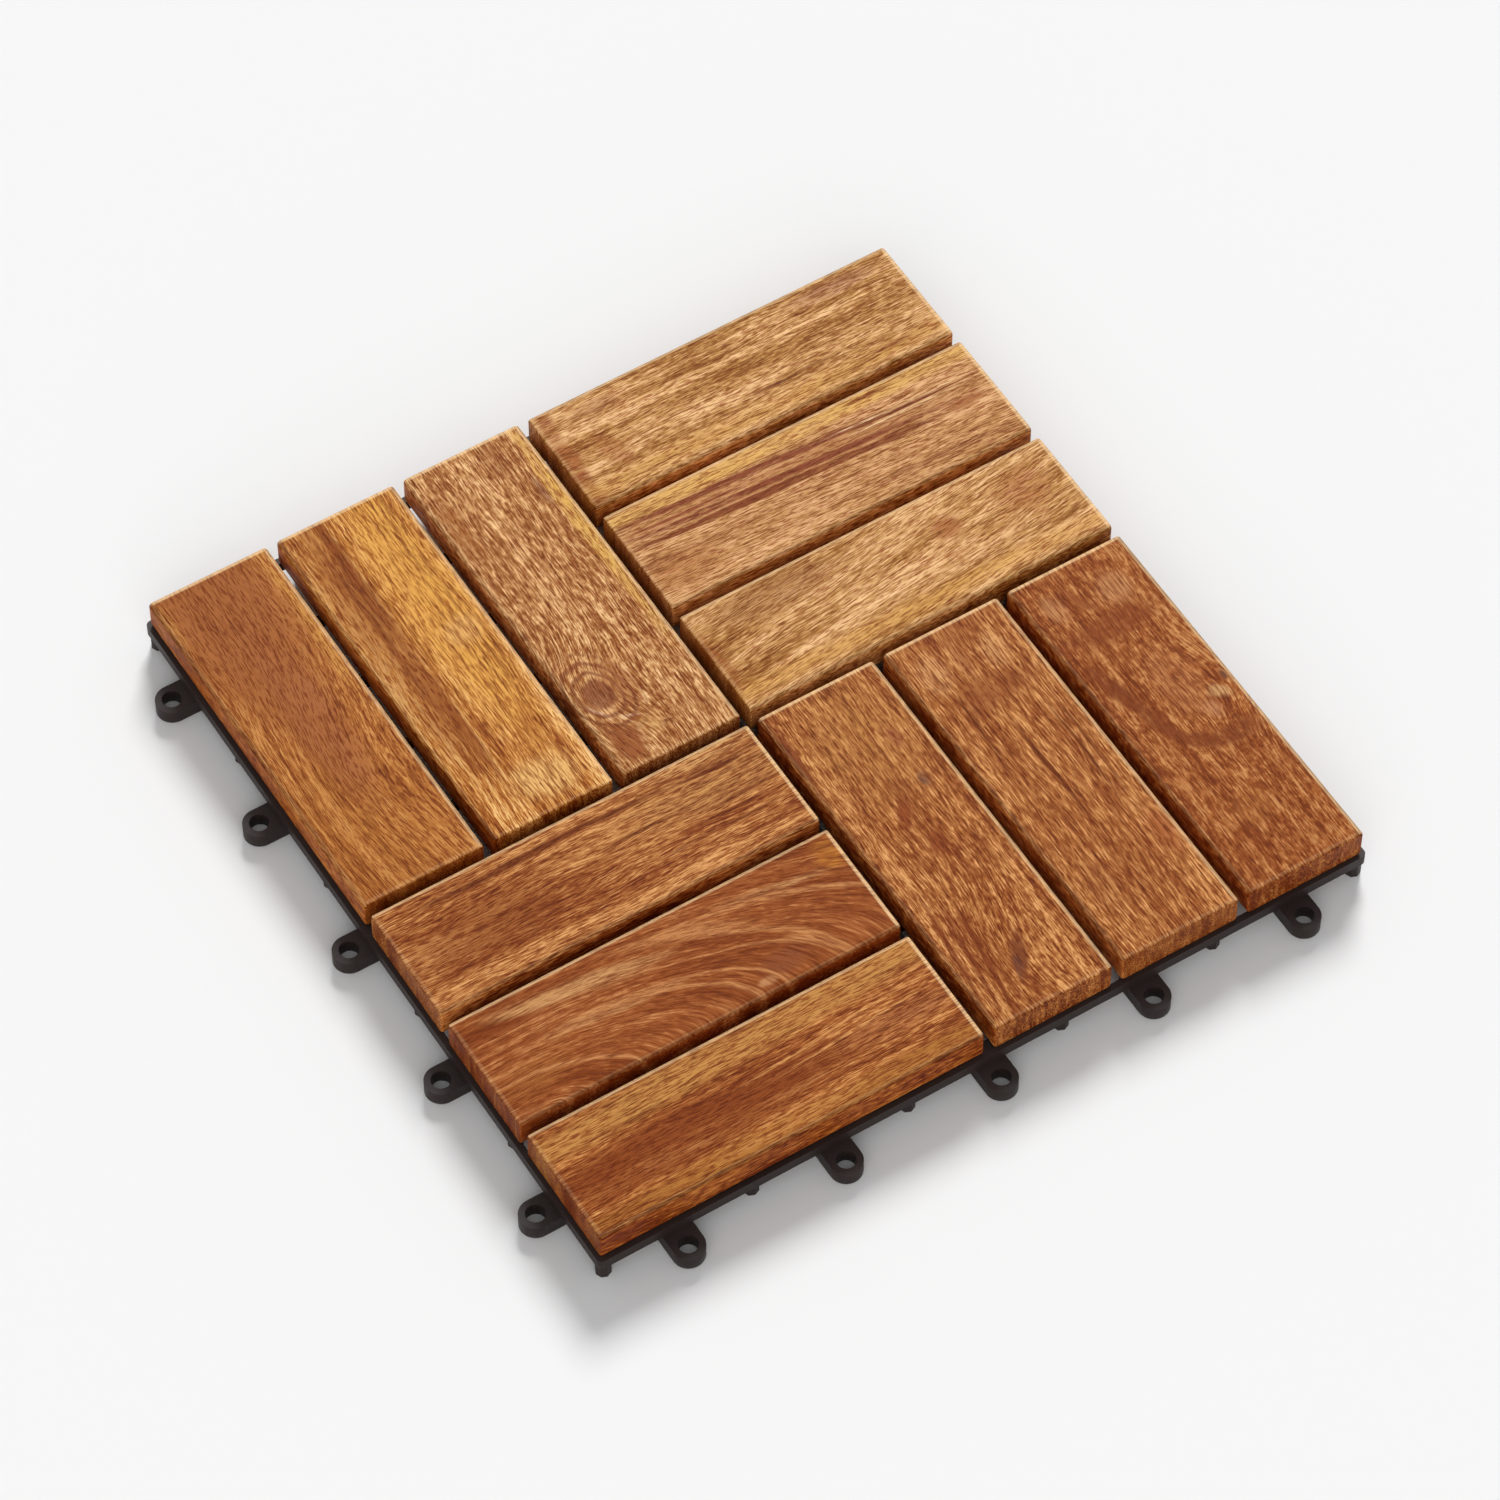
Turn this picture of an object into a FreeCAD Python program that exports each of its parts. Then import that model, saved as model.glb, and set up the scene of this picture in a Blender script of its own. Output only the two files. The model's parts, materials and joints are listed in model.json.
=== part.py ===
"""Interlocking deck tile: a moulded base grid with snap loops on two sides and
pins on the other two, and four blocks of hardwood slats screwed on from below.

The origin is on the ground at the tile's centre. The ground is Z = 0, and the
loops stand out towards -X and -Y. All sizes are in millimetres.
"""

import FreeCAD, Part
import os
import Sketcher

DRIVING_SIZES = (
    # slats: four blocks, each turned a quarter from the last
    ("block_slats", 3),
    ("slat_width", 46.0),
    ("slat_gap", 4.0),
    ("slat_thick", 12.0),
    ("block_gap", 4.0),
    ("top_round", 1.6),
    ("bottom_ease", 1.0),
    # base grid: a rim, ribs on a square pitch and feet under their crossings
    ("base_height", 11.0),
    ("grid_depth", 4.5),
    ("grid_cells", 10),
    ("rib_width", 2.2),
    ("rim_inset", 0.5),
    ("rim_width", 2.5),
    ("rim_corner", 2.0),
    ("foot_side", 4.4),
    ("rim_foot", 5.6),
    ("rim_foot_inset", 4.5),
    ("corner_foot_inset", 3.6),
    # pins and the loops that go over a neighbour's pins
    ("pin_size", 5.6),
    ("pin_inset", 5.75),
    ("pin_boss", 8.4),
    ("loop_play", 0.6),
    ("loop_wall", 2.35),
    ("loop_lift", 0.4),
    ("loop_drop", 0.3),
    ("loop_root", 6.0),
    # screws, each up a hollow pillar of the base and into a slat
    ("screw_shank", 3.5),
    ("screw_head", 7.0),
    ("head_depth", 2.2),
    ("screw_length", 10.0),
    ("screw_play", 0.2),
    ("pillar_wall", 1.45),
    ("head_play", 0.3),
    ("seat_depth", 2.0),
    ("pilot_spare", 0.5),
)

# Sizes that follow from the driving ones.
SLAT_STEP = "(dims.slat_width + dims.slat_gap)"
BLOCK = f"(dims.block_slats * {SLAT_STEP})"
SLAT_LENGTH = f"({BLOCK} - dims.block_gap)"
OUTER_SLAT = f"({BLOCK} - {SLAT_STEP} / 2)"
RIB_STEP = f"(2 * {BLOCK} / dims.grid_cells)"
RIM = f"({BLOCK} - dims.rim_inset)"
FOOT_HEIGHT = "(dims.base_height - dims.grid_depth)"
RIM_FOOT = f"({BLOCK} - dims.rim_foot_inset)"
CORNER_FOOT = f"({BLOCK} - dims.corner_foot_inset)"
PIN_LINE = f"({BLOCK} - dims.pin_inset)"
LOOP_LINE = f"({BLOCK} + dims.pin_inset)"
LOOP_HOLE = "(dims.pin_size / 2 + dims.loop_play)"
LOOP_END = f"({LOOP_HOLE} + dims.loop_wall)"
LOOP_TOP = f"({FOOT_HEIGHT} - dims.loop_drop)"
SEAT = "(dims.base_height - dims.seat_depth)"
PILLAR_BORE = "(dims.screw_head / 2 + dims.head_play)"
SCREW_REACH = "(dims.screw_length - dims.seat_depth)"
OUTER_SCREW = f"({BLOCK} - {RIB_STEP})"
INNER_SCREW = RIB_STEP
SCREW_SPREAD = f"({OUTER_SCREW} - {INNER_SCREW})"

BLOCK_NAMES = ("front_left", "front_right", "back_right", "back_left")
SLAT_NAMES = ("outer", "middle", "inner")
QUARTER_TURN = 90
NEAR = 1e-4
SMALL_ROUND_SIDES = 8  # sides of the small round forms that repeat under the tile


def make_sheet(doc):
    """Fill the sheet of driving sizes, one size to a row with its alias."""
    sheet = doc.addObject("Spreadsheet::Sheet", "dims")
    for row, (alias, number) in enumerate(DRIVING_SIZES, start=1):
        sheet.set(f"A{row}", alias)
        sheet.set(f"B{row}", str(number))
        sheet.setAlias(f"B{row}", alias)
    doc.recompute()
    return sheet


def size_of(doc, expression):
    """Work out an expression on the sheet as a plain number."""
    return float(doc.getObject("dims").evalExpression(expression))


def count_of(doc, expression):
    """Work out an expression on the sheet as a whole number."""
    return int(round(size_of(doc, expression)))


def origin_part(body, role):
    """Find one of a body's own origin planes or axes by its role."""
    return next(item for item in body.Origin.OriginFeatures if item.Role == role)


def add_body(doc, name):
    """Add a body whose label is the name of its node."""
    body = doc.addObject("PartDesign::Body", name)
    body.Label = name
    return body


def add_sketch(body, name, plane="XY_Plane", **offset):
    """Add a sketch on an origin plane, moved along its own x, y or z."""
    sketch = body.newObject("Sketcher::SketchObject", name)
    sketch.AttachmentSupport = [(origin_part(body, plane), "")]
    sketch.MapMode = "FlatFace"
    for axis, expression in offset.items():
        sketch.setExpression(f"AttachmentOffset.Base.{axis}", expression)
    return sketch


def bind(sketch, kind, where, expression, sign=1):
    """Add a sketch dimension that follows an expression on the sheet."""
    number = sign * size_of(sketch.Document, expression)
    index = sketch.addConstraint(Sketcher.Constraint(kind, *where, number))
    name = f"size_{index}"
    sketch.renameConstraint(index, name)
    sketch.setExpression(f"Constraints.{name}", expression if sign > 0 else f"-{expression}")


def add_outline(sketch, corners):
    """Draw a closed outline through corners given as expressions, in order."""
    doc = sketch.Document
    points = [FreeCAD.Vector(size_of(doc, x), size_of(doc, y), 0) for x, y in corners]
    first = sketch.GeometryCount
    total = len(points)
    for index in range(total):
        line = Part.LineSegment(points[index], points[(index + 1) % total])
        sketch.addGeometry(line, False)
    for index, (x, y) in enumerate(corners):
        after = first + (index + 1) % total
        sketch.addConstraint(Sketcher.Constraint("Coincident", first + index, 2, after, 1))
        bind(sketch, "DistanceX", (-1, 1, first + index, 1), x)
        bind(sketch, "DistanceY", (-1, 1, first + index, 1), y)


def extrude(body, kind, sketch, length, down=False):
    """Pad or pocket a sketch by a length, upwards unless told otherwise."""
    feature = body.newObject(f"PartDesign::{kind}", f"{sketch.Name}_{kind.lower()}")
    feature.Profile = sketch
    feature.setExpression("Length", length)
    feature.Reversed = down
    body.Tip = feature
    return feature


def edges_where(shape, wanted):
    """List the places in a shape's edges, from one, of those a test picks out."""
    return [index for index, edge in enumerate(shape.Edges, start=1) if wanted(edge)]


def ease(body, kind, name, edges, size_name, expression):
    """Round or chamfer edges of the body as it stands."""
    before = body.Tip
    feature = body.newObject(f"PartDesign::{kind}", name)
    feature.Base = (before, [f"Edge{index}" for index in edges])
    feature.setExpression(size_name, expression)
    body.Tip = feature
    return feature


def runs_along(edge, axis):
    """Tell whether a straight edge runs along one axis."""
    if edge.Curve.TypeId != "Part::GeomLine":
        return False
    return abs(edge.tangentAt(edge.FirstParameter).dot(axis)) > 0.999


def turned(place, turns):
    """Turn a place given as two expressions by quarter turns about the tile's centre."""
    x, y = place
    for _ in range(turns % 4):
        x, y = f"(-{y})", x
    return x, y


def add_primitive(doc, kind, name, place, **sizes):
    """Add a box, cylinder or prism with its place and its sizes bound to the sheet."""
    item = doc.addObject(f"Part::{kind}", name)
    for axis, expression in zip("xyz", place):
        item.setExpression(f"Placement.Base.{axis}", expression)
    for size_name, expression in sizes.items():
        item.setExpression(size_name, expression)
    return item


def add_block(doc, name, x_span, y_span, z_span):
    """Add a box from the low and high ends of its three spans."""
    length, width, height = (f"({high} - {low})" for low, high in (x_span, y_span, z_span))
    corner = (x_span[0], y_span[0], z_span[0])
    return add_primitive(doc, "Box", name, corner, Length=length, Width=width, Height=height)


def add_rod(doc, name, place, radius, low, high):
    """Add an upright cylinder at a place between two heights."""
    return add_primitive(doc, "Cylinder", name, (*place, low), Radius=radius, Height=f"({high} - {low})")


def add_peg(doc, name, place, radius, low, high):
    """Add an upright many-sided peg, for a small round form that repeats."""
    sizes = {"Circumradius": radius, "Height": f"({high} - {low})"}
    peg = add_primitive(doc, "Prism", name, (*place, low), **sizes)
    peg.Polygon = SMALL_ROUND_SIDES
    return peg


def fuse(doc, name, pieces):
    """Join pieces into one shape without the seams between them."""
    joined = doc.addObject("Part::MultiFuse", name)
    joined.Shapes = pieces
    joined.Refine = True
    return joined


def cut(doc, name, base, tool):
    """Take one shape out of another."""
    result = doc.addObject("Part::Cut", name)
    result.Base = base
    result.Tool = tool
    result.Label = name
    return result


def grid_lines(doc):
    """List where the ribs lie to each side of the tile's centre."""
    outermost = count_of(doc, "dims.grid_cells") // 2 - 1
    return [f"({step} * {RIB_STEP})" for step in range(-outermost, outermost + 1)]


def make_rim(doc):
    """Make the square rim with rounded corners outside."""
    plate_span, hole_span = ((f"(-{edge})", edge) for edge in (RIM, f"({RIM} - dims.rim_width)"))
    plate = add_block(doc, "rim_plate", plate_span, plate_span, (FOOT_HEIGHT, "dims.base_height"))
    opening = add_block(doc, "rim_opening", hole_span, hole_span, (FOOT_HEIGHT, "dims.base_height"))
    doc.recompute()

    upright = FreeCAD.Vector(0, 0, 1)
    corner = size_of(doc, "dims.rim_corner")
    rounded = doc.addObject("Part::Fillet", "rim_corners")
    rounded.Base = plate
    corners = edges_where(plate.Shape, lambda edge: runs_along(edge, upright))
    rounded.Edges = [(index, corner, corner) for index in corners]
    return cut(doc, "rim", rounded, opening)


def make_ribs(doc):
    """Cross the rim with ribs both ways."""
    reach = f"({RIM} - dims.rim_width / 2)"
    span, height = (f"(-{reach})", reach), (FOOT_HEIGHT, "dims.base_height")
    ribs = []
    for index, line in enumerate(grid_lines(doc)):
        thin = (f"({line} - dims.rib_width / 2)", f"({line} + dims.rib_width / 2)")
        ribs.append(add_block(doc, f"rib_along_x_{index}", span, thin, height))
        ribs.append(add_block(doc, f"rib_along_y_{index}", thin, span, height))
    return ribs


def make_feet(doc):
    """Stand every other crossing of the ribs on a square foot, and the rim on pegs."""
    lines = grid_lines(doc)
    feet = []
    for column, x in enumerate(lines):
        for row, y in enumerate(lines):
            if (column + row) % 2:
                continue
            half = "dims.foot_side / 2"
            spans = [(f"({middle} - {half})", f"({middle} + {half})") for middle in (x, y)]
            feet.append(add_block(doc, f"foot_{column}_{row}", *spans, ("0", "dims.base_height")))

    front = [(line, f"(-{RIM_FOOT})") for line in lines[1:-1:2]]
    front.append((f"(-{CORNER_FOOT})", f"(-{CORNER_FOOT})"))
    for side in range(4):
        for index, place in enumerate(front):
            name = f"rim_foot_{side}_{index}"
            place = turned(place, side)
            feet.append(add_peg(doc, name, place, "(dims.rim_foot / 2)", "0", "dims.base_height"))
    return feet


def make_pins(doc):
    """Hang a row of pins under the right rim and another under the back rim, each from a boss."""
    inner = f"({PIN_LINE} - dims.pin_boss / 2)"
    reach = (inner, f"({RIM} - dims.rim_width / 2)")
    height = (FOOT_HEIGHT, "dims.base_height")
    pins = []
    for index, line in enumerate(grid_lines(doc)[::2]):
        width = (f"({line} - dims.pin_boss / 2)", f"({line} + dims.pin_boss / 2)")
        sides = (("right", (PIN_LINE, line), (reach, width)), ("back", (line, PIN_LINE), (width, reach)))
        for side, place, spans in sides:
            name = f"{side}_pin_{index}"
            pins.append(add_rod(doc, name, place, "(dims.pin_size / 2)", "0", "dims.base_height"))
            pins.append(add_block(doc, f"{name}_boss", *spans, height))
    return pins


def make_loops(doc):
    """Reach a row of loops out of the left rim and another out of the front rim.

    Returns the loops' solid pieces and, apart, the rods that open their eyes.
    """
    root = f"(-({RIM} - dims.loop_root))"
    low, top = "dims.loop_lift", "dims.base_height"
    pieces, eyes = [], []
    for index, line in enumerate(grid_lines(doc)[::2]):
        width = (f"({line} - {LOOP_END})", f"({line} + {LOOP_END})")
        arm, block = (f"(-{LOOP_LINE})", root), (f"(-{RIM})", root)
        spans = {
            "left": ((arm, width), (block, width), (f"(-{LOOP_LINE})", line)),
            "front": ((width, arm), (width, block), (line, f"(-{LOOP_LINE})")),
        }
        for side, (arm_spans, block_spans, place) in spans.items():
            name = f"{side}_loop_{index}"
            pieces.append(add_block(doc, f"{name}_arm", *arm_spans, (low, LOOP_TOP)))
            pieces.append(add_block(doc, f"{name}_root", *block_spans, (low, top)))
            pieces.append(add_rod(doc, f"{name}_ring", place, LOOP_END, low, LOOP_TOP))
            eyes.append(add_rod(doc, f"{name}_eye", place, LOOP_HOLE, "0", FOOT_HEIGHT))
    return pieces, eyes


def screw_places(doc):
    """List the places of the screws, two to a slat, block by block."""
    slats = count_of(doc, "dims.block_slats")
    rows = [f"(-{OUTER_SLAT} + {row} * {SLAT_STEP})" for row in range(slats)]
    block = [(f"(-{along})", across) for across in rows for along in (OUTER_SCREW, INNER_SCREW)]
    return [turned(place, turn) for turn in range(len(BLOCK_NAMES)) for place in block]


def make_pillars(doc):
    """Drop a pillar to the ground at each screw, and bore it up to the head's seat.

    Returns the pillars and, apart, the stepped shapes that bore them.
    """
    hole = "(dims.screw_shank / 2 + dims.screw_play)"
    pillars, bores = [], []
    for index, place in enumerate(screw_places(doc)):
        name = f"pillar_{index}"
        wall = f"({PILLAR_BORE} + dims.pillar_wall)"
        pillars.append(add_peg(doc, name, place, wall, "0", "dims.base_height"))
        bores.append(add_peg(doc, f"{name}_bore", place, PILLAR_BORE, "-1", SEAT))
        bores.append(add_peg(doc, f"{name}_hole", place, hole, SEAT, "(dims.base_height + 1)"))
    return pillars, bores


def make_base(doc):
    """Mould the base grid with its feet, pins, loops and screw pillars."""
    loops, eyes = make_loops(doc)
    pillars, bores = make_pillars(doc)
    pieces = [make_rim(doc), *make_ribs(doc), *make_feet(doc), *make_pins(doc), *loops, *pillars]
    solid = fuse(doc, "base_solid", pieces)
    openings = fuse(doc, "base_openings", eyes + bores)
    base = cut(doc, "base_grid", solid, openings)
    doc.recompute()
    return base


def make_slat(doc, name, turn, row):
    """Plane one slat, ease its long edges, bore its pilot holes and lay it in place."""
    body = add_body(doc, name)
    half = "(dims.slat_width / 2)"
    section = add_sketch(body, f"{name}_section", "YZ_Plane")
    corners = ((f"-{half}", "0"), (half, "0"), (half, "dims.slat_thick"), (f"-{half}", "dims.slat_thick"))
    add_outline(section, corners)
    length = extrude(body, "Pad", section, SLAT_LENGTH)
    length.SideType = "Symmetric"
    doc.recompute()

    along = FreeCAD.Vector(1, 0, 0)
    mid_height = size_of(doc, "dims.slat_thick / 2")
    top = edges_where(body.Shape, lambda edge: runs_along(edge, along) and edge.CenterOfMass.z > mid_height)
    ease(body, "Fillet", f"{name}_top_round", top, "Radius", "dims.top_round")
    doc.recompute()
    bottom = edges_where(body.Shape, lambda edge: runs_along(edge, along) and abs(edge.CenterOfMass.z) < NEAR)
    ease(body, "Chamfer", f"{name}_bottom_ease", bottom, "Size", "dims.bottom_ease")

    for end, side in (("near", -1), ("far", 1)):
        pilot = body.newObject("PartDesign::SubtractivePrism", f"{name}_pilot_{end}")
        pilot.Polygon = SMALL_ROUND_SIDES
        pilot.setExpression("Circumradius", "dims.screw_shank / 2")
        pilot.setExpression("Height", f"{SCREW_REACH} + dims.pilot_spare")
        pilot.setExpression("Placement.Base.x", f"{side} * {SCREW_SPREAD} / 2")
        body.Tip = pilot

    place_in_block(body, turn, row)
    return body


def place_in_block(item, turn, row):
    """Turn a piece with its block and bind its place to the sheet."""
    angle = turn * QUARTER_TURN
    item.Placement = FreeCAD.Placement(
        FreeCAD.Vector(), FreeCAD.Rotation(FreeCAD.Vector(0, 0, 1), angle)
    )
    along = f"(-{BLOCK} / 2)"
    across = f"(-{OUTER_SLAT} + {row} * {SLAT_STEP})"
    places = ((along, across), (f"-{across}", along), (f"-{along}", f"-{across}"), (across, f"-{along}"))
    x, y = places[turn]
    item.setExpression("Placement.Base.x", x)
    item.setExpression("Placement.Base.y", y)
    item.setExpression("Placement.Base.z", "dims.base_height")


def make_screws(doc):
    """Make the two pan-head screws of one slat, points up, about its middle."""
    head_top = f"({SEAT} - dims.base_height)"
    tip = f"({head_top} + dims.screw_length)"
    screws = []
    for name, side in (("screw_near", -1), ("screw_far", 1)):
        place = (f"({side} * {SCREW_SPREAD} / 2)", "0")
        head_low = f"({head_top} - dims.head_depth)"
        head = add_peg(doc, f"{name}_head", place, "(dims.screw_head / 2)", head_low, head_top)
        shank = add_peg(doc, f"{name}_shank", place, "(dims.screw_shank / 2)", head_low, tip)
        screws.append(fuse(doc, name, [head, shank]))
    doc.recompute()
    return screws


def make_screw_pair(doc, name, screws, turn, row):
    """Set the two screws of one slat up its pillars."""
    pair = doc.addObject("Part::Compound", name)
    pair.Label = name
    pair.Links = screws
    place_in_block(pair, turn, row)
    return pair


def check_document(doc, nodes):
    """Stop if any object failed, or if a piece is missing or not sound."""
    for item in doc.Objects:
        if {"Invalid", "Error"} & set(item.State):
            raise RuntimeError(f"{item.Name} did not build: {item.State}")
    for node, solids in nodes:
        shape = node.Shape
        if shape.isNull() or not shape.isValid():
            raise RuntimeError(f"{node.Label} is not a sound shape")
        if len(shape.Solids) != solids:
            raise RuntimeError(f"{node.Label} has {len(shape.Solids)} solids, not {solids}")


def main():
    """Build every piece and write one file for each node."""
    doc = FreeCAD.newDocument("deck_tile")
    make_sheet(doc)
    nodes = [(make_base(doc), 1)]
    screws = make_screws(doc)
    for turn, block in enumerate(BLOCK_NAMES):
        for row, place in enumerate(SLAT_NAMES):
            nodes.append((make_slat(doc, f"slat_{block}_{place}", turn, row), 1))
            pair = make_screw_pair(doc, f"screws_{block}_{place}", screws, turn, row)
            nodes.append((pair, len(screws)))
    doc.recompute()
    check_document(doc, nodes)

    os.makedirs("parts", exist_ok=True)
    for node, _ in nodes:
        node.Shape.exportStep(os.path.join("parts", f"{node.Label}.step"))
        box = node.Shape.BoundBox
        print(
            f"{node.Label}: {node.Shape.Volume:.1f} mm3, X {box.XMin:.2f} to {box.XMax:.2f}, "
            f"Y {box.YMin:.2f} to {box.YMax:.2f}, Z {box.ZMin:.2f} to {box.ZMax:.2f}"
        )


main()
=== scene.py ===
"""Dress an interlocking deck tile for its looks, on the frame that its solids give.

The tile lies on the ground with its centre at the origin. Twelve planed hardwood slats
in four blocks are screwed to a moulded plastic base whose loops stand out towards -X
and -Y. Sizes are in millimetres in the classes and in metres in Blender.
"""

import json
import logging
import math
from dataclasses import dataclass, replace
from enum import Enum

import bmesh
import bpy
from mathutils import Matrix, Vector


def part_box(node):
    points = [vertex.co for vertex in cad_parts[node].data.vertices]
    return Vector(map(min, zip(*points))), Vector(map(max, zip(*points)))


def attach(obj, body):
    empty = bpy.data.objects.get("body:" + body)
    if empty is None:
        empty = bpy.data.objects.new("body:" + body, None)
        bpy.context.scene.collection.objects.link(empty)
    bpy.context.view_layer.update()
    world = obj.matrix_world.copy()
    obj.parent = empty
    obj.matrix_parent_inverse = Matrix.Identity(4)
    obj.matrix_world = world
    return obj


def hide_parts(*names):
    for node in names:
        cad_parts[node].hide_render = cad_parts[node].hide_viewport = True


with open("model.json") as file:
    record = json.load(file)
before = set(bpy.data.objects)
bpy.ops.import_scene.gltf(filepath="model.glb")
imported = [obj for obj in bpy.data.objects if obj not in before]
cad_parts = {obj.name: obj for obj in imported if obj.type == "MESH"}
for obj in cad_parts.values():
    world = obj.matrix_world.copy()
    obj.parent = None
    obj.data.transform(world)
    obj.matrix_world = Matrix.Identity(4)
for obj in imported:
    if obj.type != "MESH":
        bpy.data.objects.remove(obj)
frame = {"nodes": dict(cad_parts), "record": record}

MM = 0.001
NEAR = 1e-6  # metres within which two places count as one
FAR = 1000.0  # a size or a limit that takes one direction out of play
ROOT_BODY = "root"

log = logging.getLogger("deck_tile")

Triple = tuple[float, float, float]
Colour = tuple[float, float, float, float]
Socket = bpy.types.NodeSocket
Tree = bpy.types.NodeTree
Node = bpy.types.Node


def linear(hex_colour: str) -> Colour:
    """Turn an sRGB colour into the linear one that shaders use.

    Args:
        hex_colour: Six hex digits after a hash sign.

    Returns:
        Red, green, blue and a full alpha.
    """
    parts = (int(hex_colour[i : i + 2], 16) / 255 for i in (1, 3, 5))
    red, green, blue = (c / 12.92 if c <= 0.04045 else ((c + 0.055) / 1.055) ** 2.4 for c in parts)
    return red, green, blue, 1.0


def add_node(tree: Tree, kind: str, sockets: dict | None = None, **settings: object) -> Node:
    """Add one node to a tree, with its settings, values and links.

    Args:
        tree: The material's tree.
        kind: The node's type, without the common ShaderNode start.
        sockets: For each input, by name or place, a value or the socket that feeds it.
        settings: The node's own properties.

    Returns:
        The new node.
    """
    node = tree.nodes.new(f"ShaderNode{kind}")
    for name, value in settings.items():
        setattr(node, name, value)
    for place, value in (sockets or {}).items():
        if isinstance(value, Socket):
            tree.links.new(value, node.inputs[place])
        else:
            node.inputs[place].default_value = value
    return node


def new_material(name: str) -> tuple[bpy.types.Material, Tree, Node]:
    """Start a material with nothing but a shader joined to its output.

    Args:
        name: The material's name.

    Returns:
        The material, its tree and its main shader.
    """
    material = bpy.data.materials.new(name)
    material.use_nodes = True
    tree = material.node_tree
    tree.nodes.clear()
    shader = add_node(tree, "BsdfPrincipled")
    add_node(tree, "OutputMaterial", {"Surface": shader.outputs[0]})
    return material, tree, shader


class Run(Enum):
    """The way a slat runs, as the angle that its length is turned by."""

    ALONG_X = 0.0
    ALONG_Y = 90.0


@dataclass(frozen=True)
class Patch:
    """A soft-edged stain, streak or spot in the wood, in millimetres from the slat's middle.

    Along runs with the slat towards +X or +Y, across runs towards +Y or +X.
    """

    along: float
    across: float
    length: float
    width: float
    colour: str
    strength: float = 0.6
    lean: float = 0.0


@dataclass(frozen=True)
class Swirl:
    """A place where the grain is pushed aside, as round a knot."""

    along: float
    across: float
    length: float
    width: float
    push: float


@dataclass(frozen=True)
class Arch:
    """Nested arcs of grain that run straight up to a point and close round it beyond."""

    along: float
    across: float
    squeeze: float


@dataclass(frozen=True)
class Knot:
    """A small knot: an oval heart with growth rings round it."""

    along: float
    across: float
    length: float
    width: float
    lean: float = 0.0
    colour: str = "#84492C"


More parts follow.
